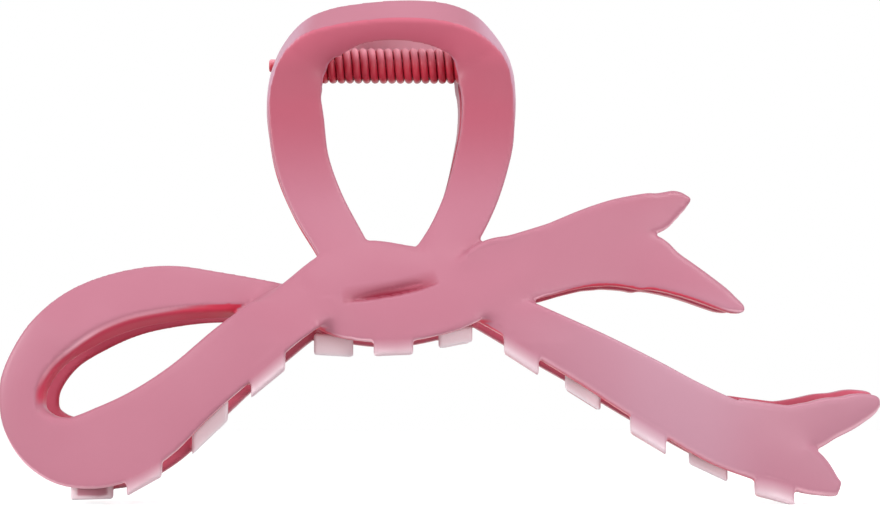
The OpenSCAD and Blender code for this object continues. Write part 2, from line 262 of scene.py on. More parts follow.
# painted shade and light on the jaws: the colour of each layer, and between which heights (m), facings and
# places each one sets in
shade = {"handle": (0.445, 0.092, 0.142), "handleFrom": (0.042, 0.06),
         "levelEnough": (0.55, 0.3), "frontalEnough": (0.75, 0.5),
         "crown": (0.635, 0.136, 0.208), "crownAbove": (0.0645, 0.0705),
         "shoulder": (0.61, 0.32, 0.43), "shoulderAbove": (0.056, 0.064), "middle": -0.007,
         "outwardFacing": (0.004, 0.011),
         "under": (0.75, 0.058, 0.11), "underBelow": (0.062, 0.054), "underFacing": (-0.25, -0.55),
         "rimHighlight": (1, 0.56, 0.66), "rimFacing": (-0.15, -0.45),
         "bowWallShade": (0.6, 0.05, 0.1), "slit": (0.36, 0.035, 0.075),
         "inwardShade": (0.6, 0.09, 0.15), "inwardFacing": (-0.0005, -0.0025),
         "inside": (1, 0.6, 0.7), "insideAbove": (0.064, 0.069),
         "tail": (0.58, 0.285, 0.372), "tailBelow": (0.034, 0.024), "tailSpan": (0, 0.066),
         "tailPlaces": [(0, 0), (0.3, 0.6), (0.58, 1), (0.88, 0.35), (1, 0.35)],
         "tip": (1, 0.88, 0.93), "tipPlaces": [(0, 0), (0.35, 0.25), (0.7, 0.7), (1, 1)]}
jawPaint = shadedPaint(coatedMaterial("jawPaint", jawLook), shade)


def wireShade(paint, look):
    # painted light: the wire's coat is paler where it faces up
    material, nodes, links, shader, coat = paint
    place, facing = nodes.new("ShaderNodeTexCoord"), nodes.new("ShaderNodeSeparateXYZ")
    links.new(place.outputs["Normal"], facing.inputs["Vector"])
    paintedTopLight = between(nodes, links, facing.outputs["Z"], *look["topFrom"])
    colour = laidOver(nodes, links, coat.outputs["Colour"], [(paintedTopLight, look["top"])])
    links.new(colour, shader.inputs["Base Color"])
    return material


wireTopLight = {"top": (0.95, 0.36, 0.45), "topFrom": (-0.2, 0.9)}
wirePaint = wireShade(coatedMaterial("wirePaint", wireLook), wireTopLight)
print("materials made")


# shape of a jaw

# lengths in mm; the face is how far the front of the ribbon stands out at each height
jaw = {"thick": 4.6, "thinBase": 0.7, "thinPerWidth": 0.12, "topExtra": 0.8, "topFrom": (65, 69),
       "edgeRound": 1.2, "roundMost": 0.6, "backRound": 0.6, "backRoundMost": 0.5, "crown": 0.25,
       "waistDepth": 8.0, "bellyDepth": 18.4, "handleDepth": 14.6, "handleRise": 9.2, "loopX": -7.0,
       "sideCurve": 0.0018, "tailIn": 2.5, "tailEnd": 62, "flatBehind": 3.2, "flatAbove": 45,
       "stepsPerSpan": 6, "voxel": 0.28, "mostFaces": 190000,
       "smoothing": 10, "smoothFactors": (0.5, -0.51)}
faceBelow = [(-1, 1.02), (-0.76, 1.02), (-0.62, 0.98), (-0.53, 0.8), (-0.41, 0.5), (-0.3, 0.27),
             (-0.15, 0.07), (-0.075, 0), (0, 0)]
faceAbove = [(0, 0), (0.3, 0.13), (0.5, 0.3), (0.7, 0.53), (1, 1)]

# strands of the ribbon: X, Z, half width, lift in front of the face, roll in degrees
loopRoute = [
    (-12.6, 34.3, 3.97, 0.3, 0), (-15.1, 39.2, 3.79, 0.1, -2), (-18.4, 45.2, 4.01, 0, -4),
    (-20.6, 51.4, 4.09, 0, -5), (-21.45, 57.6, 4.18, 0, -6), (-21.7, 61.5, 4.0, 0, -8),
    (-20.8, 65.1, 3.76, 0, -12), (-18.8, 67.7, 3.32, 0, -16), (-15.7, 69.2, 2.83, 0, -17),
    (-12.1, 70.3, 2.19, 0, -14), (-7.2, 70.8, 2.1, 0, -12), (-2, 70.5, 2.39, 0, -14),
    (2, 69.5, 2.82, 0, -17), (4.8, 67.6, 3.37, 0, -16), (6.5, 65, 4.05, 0, -12),
    (7.3, 61.7, 4.04, 0, -8), (7.3, 57.6, 4, 0, -6), (6.8, 53.2, 4.1, 0, -5), (4.9, 46.3, 3.97, 0, -4),
    (2, 40, 3.77, -0.1, -2), (-1.4, 35, 3.65, -0.3, 0)]
bowRoute = [
    (-17, 29.9, 1.85, -2.6, 0), (-26.3, 31.3, 2.45, -2.2, 0), (-33, 31.95, 3.05, -1, 0),
    (-40.2, 32.15, 3.86, -0.2, 0), (-47, 31.05, 4.13, 0, 0), (-52.9, 28.75, 4.25, 0, 0),
    (-57.3, 25.3, 3.95, 0, 0), (-60.3, 21.7, 3.52, 0, 0), (-62.1, 17.8, 3.28, 0, 0),
    (-62, 13.8, 3.26, 0, 0), (-60.4, 11, 3.81, 0, 0), (-57.7, 8.9, 4.56, 0, 0), (-54, 7.9, 5.28, 0, 2),
    (-48.9, 8.8, 5.94, 0, 3), (-43.05, 11.8, 5.69, 0, 4), (-36.8, 16.8, 4.85, 0.2, 6),
    (-30.45, 22.2, 4.78, 0.6, 6), (-24.4, 26.85, 4.66, 1, 5), (-20.5, 29.5, 4.54, 0.9, 4),
    (-15.2, 33.4, 4.68, 0.4, 0), (-10.5, 35.05, 4.55, 0.2, 0), (-3.6, 35.1, 3.5, 0, 0),
    (1.5, 35.2, 3.24, -0.6, 0)]
bellyRoute = [
    (-18, 29, 2.6, -1.3, -4), (-13.9, 27.9, 3.4, -0.5, -4), (-6.7, 27.9, 4, 0, -4),
    (0.4, 29.5, 4.3, 0.6, -5), (4.6, 31.9, 4.8, 0.9, -7), (8.3, 34.1, 5.4, 1.1, -9),
    (12, 35.1, 5.22, 1, -12), (18.2, 37.1, 5.15, 0.6, -14), (24, 38.3, 5.82, 0.2, -14),
    (27.5, 39, 5.62, 0, -13)]
lowRoute = [
    (1, 33, 2.8, -2, -6), (6, 30.3, 3, -1.2, -8), (11, 27.7, 3.22, -0.4, -10),
    (16.9, 24.5, 3.69, 0, -10), (23, 21.3, 4.11, 0, -10), (30.1, 17.3, 4.56, 0, -9),
    (36.2, 13.9, 4.75, 0, -8), (42.5, 10.75, 5.1, 0, -7), (48.3, 9, 5.5, 0, -6)]
upperProng = [
    (11.6, 37.2, 2.97, 1.4, -12), (16.6, 38.8, 3, 1.15, -13), (22.1, 41.1, 3.01, 1, -13),
    (26.3, 42.5, 3.07, 0.95, -13), (30, 43.2, 3.19, 0.9, -12), (32.6, 43.8, 3, 0.85, -12),
    (34.3, 44.6, 2.37, 0.75, -12), (35.5, 45.2, 1.96, 0.65, -12), (36.6, 45.5, 1.44, 0.55, -12),
    (37.4, 45.6, 0.75, 0.5, -12), (37.8, 45.5, 0.38, 0.5, -12)]
lowerProng = [
    (10.1, 33.6, 3.83, 0.8, -10), (14.4, 34.7, 4.08, 0.55, -12), (18.8, 35.8, 4.04, 0.17, -13),
    (23.2, 36.5, 3.99, -0.15, -13), (27.7, 36.6, 4.26, -0.5, -13), (31.3, 36.1, 4.39, -0.65, -13),
    (34.2, 34.8, 3.34, -0.65, -13), (37, 33.5, 2.71, -0.6, -13), (39.7, 32.1, 2.2, -0.5, -13),
    (42, 30.8, 1.78, -0.4, -13), (43.5, 29.9, 1.37, -0.3, -13), (44.8, 29.3, 0.88, -0.2, -13),
    (45.5, 29, 0.35, -0.2, -13)]
topLobe = [
    (44.5, 10.9, 4.85, 0, -6), (48.5, 10.8, 4.4, 0, -6), (52, 10.8, 4.05, 0, -6),
    (55.4, 11.6, 3.73, 0, -6), (58.3, 12.7, 3.29, 0, -6), (60.8, 13.4, 2.81, 0, -6),
    (62.9, 14.2, 2.45, 0, -6), (64.6, 14.7, 1.91, 0, -6), (65.9, 15.1, 1.26, 0, -6),
    (66.5, 15.2, 0.61, 0, -6)]
bottomLobe = [
    (46, 8.9, 4.5, 0, -6), (51.5, 6.8, 3.91, 0, -6), (55.8, 4.5, 3.23, 0, -6), (58.7, 2.8, 1.8, 0, -6),
    (60, 2.3, 1.08, 0, -6)]

# each strand with the rounding of its left-hand front edge along the way, that of its right-hand one, and
# how far its side walls stand square to the face rather than straight back
strands = [
    (loopRoute, [(0, 0.35), (1, 0.35)], 0.3, [(0, 0), (0.1, 0), (0.24, 1), (0.76, 1), (0.9, 0), (1, 0)]),
    (bowRoute, [(0, 1.3), (0.3, 1.7), (0.42, 1.6), (0.5, 0.9), (0.62, 0.5), (1, 0.45)], 0.45,
     [(0, 1), (0.34, 1), (0.5, 0), (1, 0)]),
    (bellyRoute, [(0, 0.7), (1, 0.7)], 0.5, [(0, 0), (1, 0)]),
    (lowRoute, [(0, 0.5), (1, 0.5)], 0.4, [(0, 0), (1, 0)]),
    (upperProng, [(0, 0.5), (1, 0.5)], 0.6, [(0, 0), (1, 0)]),
    (lowerProng, [(0, 0.6), (1, 0.6)], 0.5, [(0, 0), (1, 0)]),
    (topLobe, [(0, 0.5), (1, 0.5)], 0.6, [(0, 0), (1, 0)]),
    (bottomLobe, [(0, 0.6), (1, 0.6)], 0.5, [(0, 0), (1, 0)])]


def smoothLookup(table, x):
    # value on a smooth curve through the table's points
    if x <= table[0][0]:
        return table[0][1]
    if x >= table[-1][0]:
        return table[-1][1]
    i = max(k for k in range(len(table) - 1) if table[k][0] <= x)
    (x0, y0), (x1, y1) = table[i], table[i + 1]
    slope = (y1 - y0) / (x1 - x0)

    def tangent(k):
        if k == 0 or k == len(table) - 1:
            return slope
        left = (table[k][1] - table[k - 1][1]) / (table[k][0] - table[k - 1][0])
        right = (table[k + 1][1] - table[k][1]) / (table[k + 1][0] - table[k][0])
        return 0 if left * right <= 0 else 2 * left * right / (left + right)
    h, t = x1 - x0, (x - x0) / (x1 - x0)
    return ((2 * t ** 3 - 3 * t ** 2 + 1) * y0 + (t ** 3 - 2 * t ** 2 + t) * h * tangent(i)
            + (3 * t ** 2 - 2 * t ** 3) * y1 + (t ** 3 - t ** 2) * h * tangent(i + 1))


def faceDepth(x, z):
    h = z - hingeZ
    if h < 0:
        d = jaw["waistDepth"] + (jaw["bellyDepth"] - jaw["waistDepth"]) * smoothLookup(faceBelow, h / hingeZ)
    else:
        share = smoothLookup(faceAbove, h / jaw["handleRise"])
        d = jaw["waistDepth"] + (jaw["handleDepth"] - jaw["waistDepth"]) * share
    return d - jaw["sideCurve"] * (x - jaw["loopX"]) ** 2 - jaw["tailIn"] * (max(0, x) / jaw["tailEnd"]) ** 3


def faceNormal(x, z, reach=2.0):
    return Vector((-(faceDepth(x + reach, z) - faceDepth(x - reach, z)) / (2 * reach), -1,
                   -(faceDepth(x, z + reach) - faceDepth(x, z - reach)) / (2 * reach))).normalized()


def smoothed(route, steps):
    # stations on a Catmull-Rom curve through the route's points
    rows = []
    for i in range(len(route) - 1):
        a, b = route[max(i - 1, 0)], route[i]
        c, d = route[i + 1], route[min(i + 2, len(route) - 1)]
        for s in range(steps):
            t = s / steps
            rows.append([0.5 * (2 * q + (r - p) * t + (2 * p - 5 * q + 4 * r - u) * t * t
                                + (3 * q - p - 3 * r + u) * t ** 3) for p, q, r, u in zip(a, b, c, d)])
    return rows + [list(route[-1])]


def eased(low, high, x):
    t = max(0, min(1, (x - low) / (high - low)))
    return t * t * (3 - 2 * t)


def ribbonThickness(row):
    # thinner where the ribbon narrows, thicker over the top of the handle
    share = min(1, jaw["thinBase"] + jaw["thinPerWidth"] * row[2])
    return jaw["thick"] * share + jaw["topExtra"] * eased(*jaw["topFrom"], row[1])


def ribbonSection(w, thick, leftRound, rightRound):
    # outline of the ribbon: place across and depth behind the face
    left, right = min(leftRound, jaw["roundMost"] * w), min(rightRound, jaw["roundMost"] * w)
    back = min(jaw["backRound"], jaw["backRoundMost"] * w)
    crown = jaw["crown"]
    outline = []

    def corner(side, radius, depth, turns):
        # quarter round: side -1 or 1, depth of its middle, positive turns towards the back
        for turn in turns:
            a = math.radians(turn)
            outline.append((side * (w - radius + radius * math.cos(a)), depth + radius * math.sin(a)))
    corner(-1, left, left + crown, (0, -22.5, -45, -67.5, -90))
    for share in (-0.75, -0.4, 0, 0.4, 0.75):
        outline.append((share * w, crown * share * share))
    corner(1, right, right + crown, (-90, -67.5, -45, -22.5, 0))
    corner(1, back, thick - back, (0, 45, 90))
    corner(-1, back, thick - back, (90, 45, 0))
    return outline


def facePoint(row):
    return Vector((row[0], -faceDepth(row[0], row[1]) - row[3], row[1]))


def ribbonFrame(rows, i, squares):
    # centre of the face, the direction across it, and the direction its side walls run in
    row = rows[i]
    along = (facePoint(rows[min(i + 1, len(rows) - 1)]) - facePoint(rows[max(i - 1, 0)])).normalized()
    flat = along.cross(faceNormal(row[0], row[1])).normalized()
    up = flat.cross(along)
    roll = math.radians(row[4])
    across = flat * math.cos(roll) + up * math.sin(roll)
    out = up * math.cos(roll) - flat * math.sin(roll)
    square = smoothLookup(squares, i / (len(rows) - 1))
    wall = (out * square + Vector((0, -1, 0)) * (1 - square)).normalized()
    return facePoint(row), across, wall


def ribbonRings(route, leftRounds, rightRound, squares):
    rows = smoothed(route, jaw["stepsPerSpan"])
    rings = []
    for i, row in enumerate(rows):
        centre, across, wall = ribbonFrame(rows, i, squares)
        leftRound = smoothLookup(leftRounds, i / (len(rows) - 1))
        section = ribbonSection(row[2], ribbonThickness(row), leftRound, rightRound)
        rings.append([centre + across * a - wall * d for a, d in section])
    return rings


def sweep(bm, rings):
    # first ring filled, then extruded from ring to ring
    face = bm.faces.new([bm.verts.new(p) for p in rings[0]])
    for i, ring in enumerate(rings[1:]):
        made = bmesh.ops.extrude_face_region(bm, geom=[face])
        if i:
            bmesh.ops.delete(bm, geom=[face], context="FACES_ONLY")
        face = next(f for f in made["geom"] if isinstance(f, bmesh.types.BMFace))
        for vert, place in zip(face.verts, ring):
            vert.co = place


# teeth

# each tooth: X at the end nearer the front, width, how far that end hangs below the face's edge
tooth = {"root": 2.4, "bend": 1.8, "tip": 1.5, "drop": 1.7, "sag": -0.05, "flat": 0.94, "lip": 1.2,
         "lipUp": 0.5, "clear": 0.4, "taper": 0.92, "fan": 0.002, "fanFrom": -8.5, "levelAt": 12.7,
         "front": [(-43.4, 5.2, 1.9), (-25.2, 5.0, 2.5), (-6.9, 5.8, 1.85), (11.9, 5.1, 2.5),
                   (30.7, 5.3, 2.5), (49.8, 6.0, 2.1)],
         "back": [(-51.6, 6.3, 1.75), (-34.0, 5.3, 2.9), (-15.75, 5.8, 2.6), (2.3, 5.0, 1.95),
                  (21.3, 5.3, 1.95), (40.25, 5.8, 1.55)]}
# the strands whose lower edges bound the face: number, from X, to X, below Z
edgeParts = [(1, -56, -19, 27), (2, -16, 4, 99), (3, 6, 99, 99), (7, 48, 99, 99)]


def cornerLine():
    # lower edge of the jaw's face from left to right
    line = []
    for number, low, high, below in edgeParts:
        route, _, _, squares = strands[number]
        rows = smoothed(route, 2)
        for i, row in enumerate(rows):
            centre, across, wall = ribbonFrame(rows, i, squares)
            deep = min(jaw["edgeRound"], jaw["roundMost"] * row[2]) + jaw["crown"]
            p = centre + across * row[2] - wall * deep
            if low < p.x < high and p.z < below:
                line.append(p)
    return sorted(line, key=lambda p: p.x)


faceEdge = cornerLine()


def lineAt(line, x, axis):
    # straight between neighbours, flat past the ends
    i = max(1, min(len(line) - 1, bisect.bisect_left([p.x for p in line], x)))
    a, b = line[i - 1], line[i]
    t = max(0, min(1, (x - a.x) / max(b.x - a.x, 1e-6)))
    return a[axis] + (b[axis] - a[axis]) * t


def toothRings(side, place, width, hang, stands):
    # down from the ribbon's edge, bent across to the other jaw, and curled up at the end
    half, sag, flat, root = width / 2, tooth["sag"], tooth["flat"], tooth["root"]
    thick, bend = tooth["tip"], tooth["bend"]

    def edgeAt(x):
        return lineAt(faceEdge, x, 2)
    tilt = (edgeAt(place + 2) - edgeAt(place - 2)) / 4
    front = lineAt(faceEdge, place, 1) - jaw["edgeRound"]
    turn = (lineAt(faceEdge, place + 2, 1) - lineAt(faceEdge, place - 2, 1)) / 4
    tip = -front - jaw["thick"] - tooth["clear"]
    farPlace = place + (place - tooth["fanFrom"]) * tooth["fan"] * (tip - front)
    nearLow = abs(tilt) * flat * half + sag if stands else edgeAt(place) - hang
    rise = max(0, nearLow - tooth["levelAt"]) * tooth["fan"] * (tip - front)
    farLow = max(edgeAt(farPlace) - tooth["drop"], nearLow + rise)
    rootPlace, tipPlace = (place, farPlace) if side < 0 else (farPlace, place)
    low, tipLow = (nearLow, farLow) if side < 0 else (farLow, nearLow)
    edge = edgeAt(rootPlace)
    lip = edgeAt(tipPlace) + tooth["lipUp"] - tipLow

    def lowAt(y):
        return low + (tipLow - low) * (y - front) / (tip - front)
    # Y, Z, thickness, turn of the thickness from level to upright, width share
    run = [(front + root / 2, edge + 1.6, root, 0, 1), (front + root / 2, low + 1.5, root, 0, 1),
           (front + root / 2, low + 0.95, root, 6, 1),
           (front + root / 2 + 0.1, low + bend / 2, 0.92 * math.hypot(root, bend), 40, 1),
           (front + root + 0.5, low + bend / 2, bend, 86, 1),
           (front * 0.5, lowAt(front * 0.5) + bend * 0.47, bend * 0.94, 90, 1),
           (0, lowAt(0) + thick * 0.53, thick * 1.06, 90, 1),
           (tip - 2.4 * tooth["lip"], lowAt(tip - 2.4 * tooth["lip"]) + thick / 2, thick, 90, 1),
           (tip - 1.5 * tooth["lip"], lowAt(tip - 1.5 * tooth["lip"]) + thick / 2, thick, 90, 1),
           (tip - tooth["lip"], tipLow + lip / 2, lip, 90, 1), (tip - 0.2, tipLow + lip / 2, lip, 90, 1),
           (tip, tipLow + lip / 2, lip * 0.94, 90, 0.97)]
    corners = [(-1, -0.8), (-0.98, -0.94), (-flat, -1), (flat, -1), (0.98, -0.94), (1, -0.8),
               (1, 0.8), (0.98, 0.94), (flat, 1), (-flat, 1), (-0.98, 0.94), (-1, 0.8)]
    rings = []
    for y, z, deep, lean, share in smoothed(run, 3):
        lean = math.radians(lean)
        away = (y - front) / (tip - front)
        middle = rootPlace + (tipPlace - rootPlace) * away
        share *= 1 + (tooth["taper"] - 1) * (away if side < 0 else 1 - away)
        ring = []
        for across, depth in corners:
            a, b = across * share * half, depth * deep / 2
            ring.append(Vector((middle + a, y + b * math.cos(lean) + a * turn * (1 - lean / (math.pi / 2)),
                                z + b * math.sin(lean) + a * tilt)))
        rings.append(ring)
    return rings


# the knot, X and Z in mm: creases that stay and how far each reaches, the line of the slit, how far the
# moulded face stands in front (X, Z, lift), the areas that flow together (from X, to X, from Z, to Z,
# passes), and small bumps to flatten where creases end (X, Z, reach)
knot = {"creases": [((6.3, 40), (4.2, 37.6), 0.6), ((-18.6, 25), (-17.3, 27.4), 0.8),
                    ((5.4, 25.5), (5.6, 27.2), 0.5)],
        "slit": [(-14.4, 29.9), (-10.4, 30.4), (-6.7, 31), (-3.2, 31.8), (-0.2, 32.8)],
        "slitDeep": 1.8, "slitAbove": 2.4, "slitBelow": 0.3, "slitFrom": 28, "slitTo": 36,
        "face": [(-25, 26, 0.9), (-20, 29.5, 1), (-15, 33, 0.8), (-9, 34.5, 0.5), (-3, 35.5, 0.4),
                 (2, 35, 0.6), (7, 34.3, 1), (12, 35.5, 1), (17, 37, 0.65), (-13, 28.3, 0), (-7, 28, 0.35),
                 (0, 29.5, 0.6), (5, 31, 0.8), (12, 31, 0.7), (8, 28.5, 0.35), (12.5, 27, 0.1),
                 (17, 24.5, 0), (-15, 39, 0.1), (-10, 38, 0.3), (2, 40, 0), (-18, 44, 0), (4.5, 45, 0)],
        "span": (-22, 16, 24.5, 43), "ease": 3.0, "spread": 12, "raiseInset": (0.6, 2.2),
        "blends": [(-19, 20, 24, 44, 200), (12, 38, 26.5, 48, 120), (6, 28, 26, 46, 30), (40, 62, 1, 18, 100),
                   (-30, -17, 24, 37, 60)],
        "bumps": [(3.1, 36.2, 1.8), (-17.6, 27.2, 1.5), (-14.3, 30.2, 1.3), (11.8, 30.2, 2), (6.4, 28.3, 1.5),
                  (-18.4, 65.7, 3.5), (3.4, 65.5, 3.5)],
        "blendInset": 1.1, "bumpInset": 0.5, "skin": 2.4}


def stationTrees():
    # the strands' centre lines, to tell how far inside the outline a point of the face lies
    trees = []
    for route, _, _, _ in strands:
        rows = smoothed(route, 10)
        tree = KDTree(len(rows))
        for i, row in enumerate(rows):
            tree.insert((row[0], 0, row[1]), i)
        tree.balance()
        trees.append((tree, rows))
    return trees


strandTrees = stationTrees()


def inset(x, z):
    best = -9
    for tree, rows in strandTrees:
        place, i, away = tree.find((x, 0, z))
        best = max(best, rows[i][2] - away)
    return best


def fromLine(x, z, a, b):
    # distance from a line's nearest point, and how far along it that point lies
    dx, dz = b[0] - a[0], b[1] - a[1]
    t = max(0, min(1, ((x - a[0]) * dx + (z - a[1]) * dz) / (dx * dx + dz * dz)))
    return math.hypot(x - a[0] - t * dx, z - a[1] - t * dz), t


def smoothVerts(bm, verts, passes, factors=(0.5,)):
    for _ in range(passes):
        for factor in factors:
            bmesh.ops.smooth_vert(bm, verts=verts, factor=factor, use_axis_x=True, use_axis_y=True,
                                  use_axis_z=True)


def raiseKnot(bm):
    # one smooth face where the strands cross, fading out towards the outline and along the strands
    x0, x1, z0, z1 = knot["span"]
    for vert in bm.verts:
        x, z = vert.co.x, vert.co.z
        if not (x0 < x < x1 and z0 < z < z1 and vert.co.y < knot["skin"] - faceDepth(x, z)):
            continue
        toBorder = min(x - x0, x1 - x, z - z0, z1 - z)
        share = eased(*knot["raiseInset"], inset(x, z)) * eased(0, knot["ease"], toBorder)
        weights = [math.exp(-((x - a) ** 2 + (z - b) ** 2) / knot["spread"]) for a, b, _ in knot["face"]]
        lift = sum(w * c for w, (_, _, c) in zip(weights, knot["face"])) / max(sum(weights), 1e-6)
        vert.co.y += (-faceDepth(x, z) - lift - vert.co.y) * share


def easeKnot(bm):
    # the moulded strands flow into each other on the face, except along the creases
    for x0, x1, z0, z1, passes in knot["blends"]:
        passes = passes
        inside = [v for v in bm.verts if x0 < v.co.x < x1 and z0 < v.co.z < z1
                  and v.co.y < knot["skin"] - faceDepth(v.co.x, v.co.z)]
        inner = [v for v in inside if inset(v.co.x, v.co.z) > knot["blendInset"]]
        far = [v for v in inner if all(fromLine(v.co.x, v.co.z, a, b)[0] > reach
                                       for a, b, reach in knot["creases"])]
        smoothVerts(bm, far, passes)
        smoothVerts(bm, inner, passes // 8)


def slitShare(x, z):
    # how deep a point of the face lies in the slit: the face dips from above and stands up sharply below
    line = knot["slit"]
    if not (line[0][0] - 1 < x < line[-1][0] + 1 and knot["slitFrom"] < z < knot["slitTo"]):
        return 0
    away, along = min((fromLine(x, z, a, b)[0], i + fromLine(x, z, a, b)[1])
                      for i, (a, b) in enumerate(zip(line, line[1:])))
    first = min(int(along), len(line) - 2)
    a, b = line[first], line[first + 1]
    above = (b[0] - a[0]) * (z - a[1]) - (b[1] - a[1]) * (x - a[0]) > 0
    reach = knot["slitAbove"] if above else knot["slitBelow"]
    return math.sin(math.pi * along / (len(line) - 1)) ** 0.8 * max(0, 1 - away / reach) ** 2


def cutSlit(bm):
    bm.normal_update()
    for vert in bm.verts:
        if vert.normal.y < -0.5:
            vert.co.y += knot["slitDeep"] * slitShare(vert.co.x, vert.co.z)


def easeBumps(bm):
    for x, z, reach in knot["bumps"]:
        near = [v for v in bm.verts if math.hypot(v.co.x - x, v.co.z - z) < reach
                and v.co.y < knot["skin"] - faceDepth(x, z) and inset(v.co.x, v.co.z) > knot["bumpInset"]]
        smoothVerts(bm, near, 36)


# where the painted light and shade lie, in mm: beside a tooth, above and below the face's edge, behind the
# face, at the rim, in the slit and in the bow's opening
places = {"besideTooth": 1.6, "toothBelow": 32, "tipAbove": 4, "rootAbove": 0.3, "rootMost": 0.62,
          "down": 1.8, "bar": 5, "barFull": 9,
          "hollow": 2.5, "hollowDown": 1.5, "hollowFade": 0.5, "hollowMost": 0.85,
          "behind": (0.7, 1.5), "rimDepth": 0.5, "rimReach": 0.6, "rimInset": (0.3, 1.1), "slitDepth": 3,
          "bowMiddle": (-46, 20), "bowRight": -26, "bowHeight": (8, 32), "bowFacing": (0.2, 0.7),
          "bowBehind": (0.1, 1), "bowLevel": (-0.1, 0.3)}


def toothLightShare(x, y, z, side, teeth):
    # share of the painted light that pales a tooth: from 0 above its root to 1 at its tip and along its bar;
    # held back at the end of the leftmost one, as painted shade of a hollow end
    depth = side * -y + faceDepth(x, z)
    if z >= places["toothBelow"] or min(abs(p - x) - w / 2 for p, w, _ in teeth) >= places["besideTooth"]:
        return 0
    above, most = (places["tipAbove"], 1) if y * side < 0 else (places["rootAbove"], places["rootMost"])
    edge = lineAt(faceEdge, x, 2)
    down = (edge + above - z) / (places["down"] + above)
    if depth > places["bar"]:
        bar = eased(places["bar"], places["barFull"], depth)
        down, most = max(down, bar), max(most, bar)
    if side > 0:
        inHollow = min(places["hollow"] - abs(x - teeth[0][0]), z - edge + places["hollowDown"])
        most *= 1 - places["hollowMost"] * eased(0, places["hollowFade"], inHollow)
    return most * max(0, min(1, down))


def bowShadeShare(x, z, depth, normal):
    # painted shade on the walls of the bow's opening that face its middle, apart from the bottom
    low, high = places["bowHeight"]
    if not (x < places["bowRight"] and low < z < high):
        return 0
    inwards = Vector((places["bowMiddle"][0] - x, 0, places["bowMiddle"][1] - z)).normalized().dot(normal)
    behind, level = eased(*places["bowBehind"], depth), eased(*places["bowLevel"], normal.z)
    return eased(*places["bowFacing"], inwards) * behind * (1 - level)


def markPlaces(piece, side, teeth):
    # shares that the paint reads from the mesh, for its painted light at the teeth, its painted shade behind
    # the face, in the slit and in the bow's opening, and its painted highlight at the rim
    shares = {"toothTipLight": [], "behindFace": [], "rimHighlight": [], "slit": [], "bowHoleShade": []}
    for vert in piece.data.vertices:
        x, y, z = vert.co / mm
        depth = side * -y + faceDepth(x, z)
        rimHighlight = max(0, 1 - abs(depth - places["rimDepth"]) / places["rimReach"])
        shares["toothTipLight"].append(toothLightShare(x, y, z, side, teeth))
        shares["behindFace"].append(eased(*places["behind"], depth))
        shares["rimHighlight"].append(rimHighlight * (1 - eased(*places["rimInset"], inset(x, z))))
        shares["slit"].append(slitShare(x, z) ** 0.5 if depth < places["slitDepth"] else 0)
        shares["bowHoleShade"].append(bowShadeShare(x, z, depth, vert.normal))
    for name, values in shares.items():
        piece.data.attributes.new(name, "FLOAT", "POINT").data.foreach_set("value", values)


# building the two jaws

lugs = {"leftRail": -21.1, "rightRail": 6.9, "outer": 2.75, "padDeep": 1.6, "across": 5.2, "shoulder": 0.4}


def addBox(bm, low, high):
    made = bmesh.ops.create_cube(bm, size=1)
    low, high = Vector(low), Vector(high)
    bmesh.ops.scale(bm, vec=high - low, verts=made["verts"])
    bmesh.ops.translate(bm, vec=(low + high) / 2, verts=made["verts"])


def meshObject(name, bm):
    mesh = bpy.data.meshes.new(name)
    bm.to_mesh(mesh)
    bm.free()
    piece = bpy.data.objects.new(name, mesh)
    scene.collection.objects.link(piece)
    return piece


def bakedModifiers(piece):
    graph = bpy.context.evaluated_depsgraph_get()
    mesh = bpy.data.meshes.new_from_object(piece.evaluated_get(graph))
    piece.modifiers.clear()
    old = piece.data
    piece.data = mesh
    bpy.data.meshes.remove(old)


def thinned(piece, most):
    # fewer triangles where the surface is plain
    triangles = 2 * len(piece.data.polygons)
    if triangles > most:
        fewer = piece.modifiers.new("fewerFaces", "DECIMATE")
        fewer.ratio = most / triangles
        bakedModifiers(piece)


def remeshed(piece, voxel):
    # one skin round everything that overlaps
    skin = piece.modifiers.new("oneSkin", "REMESH")
    skin.mode = "VOXEL"
    skin.voxel_size = voxel
    bakedModifiers(piece)


# the back jaw's tails ride a little higher towards their ends, its lower bow strand a little lower, and its
# handle stands a little to the left: how far, between which places, and below which heights
backShift = {"tail": 0.7, "upperTail": (8, 50), "upperBelow": 48, "lowerTail": (2, 40), "lowerBelow": 27,
             "bow": 0.75, "bowFrom": (-58, -50), "bowTo": (-40, -26), "handle": 0.3, "handleFrom": (42, 52)}


def shiftedBack(route):
    rows = []
    for x, z, *rest in route:
        rise = backShift["tail"] * eased(*backShift["upperTail"], x) if z < backShift["upperBelow"] else 0
        if z < backShift["lowerBelow"]:
            onBow = eased(*backShift["bowFrom"], x) * (1 - eased(*backShift["bowTo"], x))
            rise = backShift["tail"] * eased(*backShift["lowerTail"], x) - backShift["bow"] * onBow
        rows.append((x - backShift["handle"] * eased(*backShift["handleFrom"], z), z + rise, *rest))
    return rows


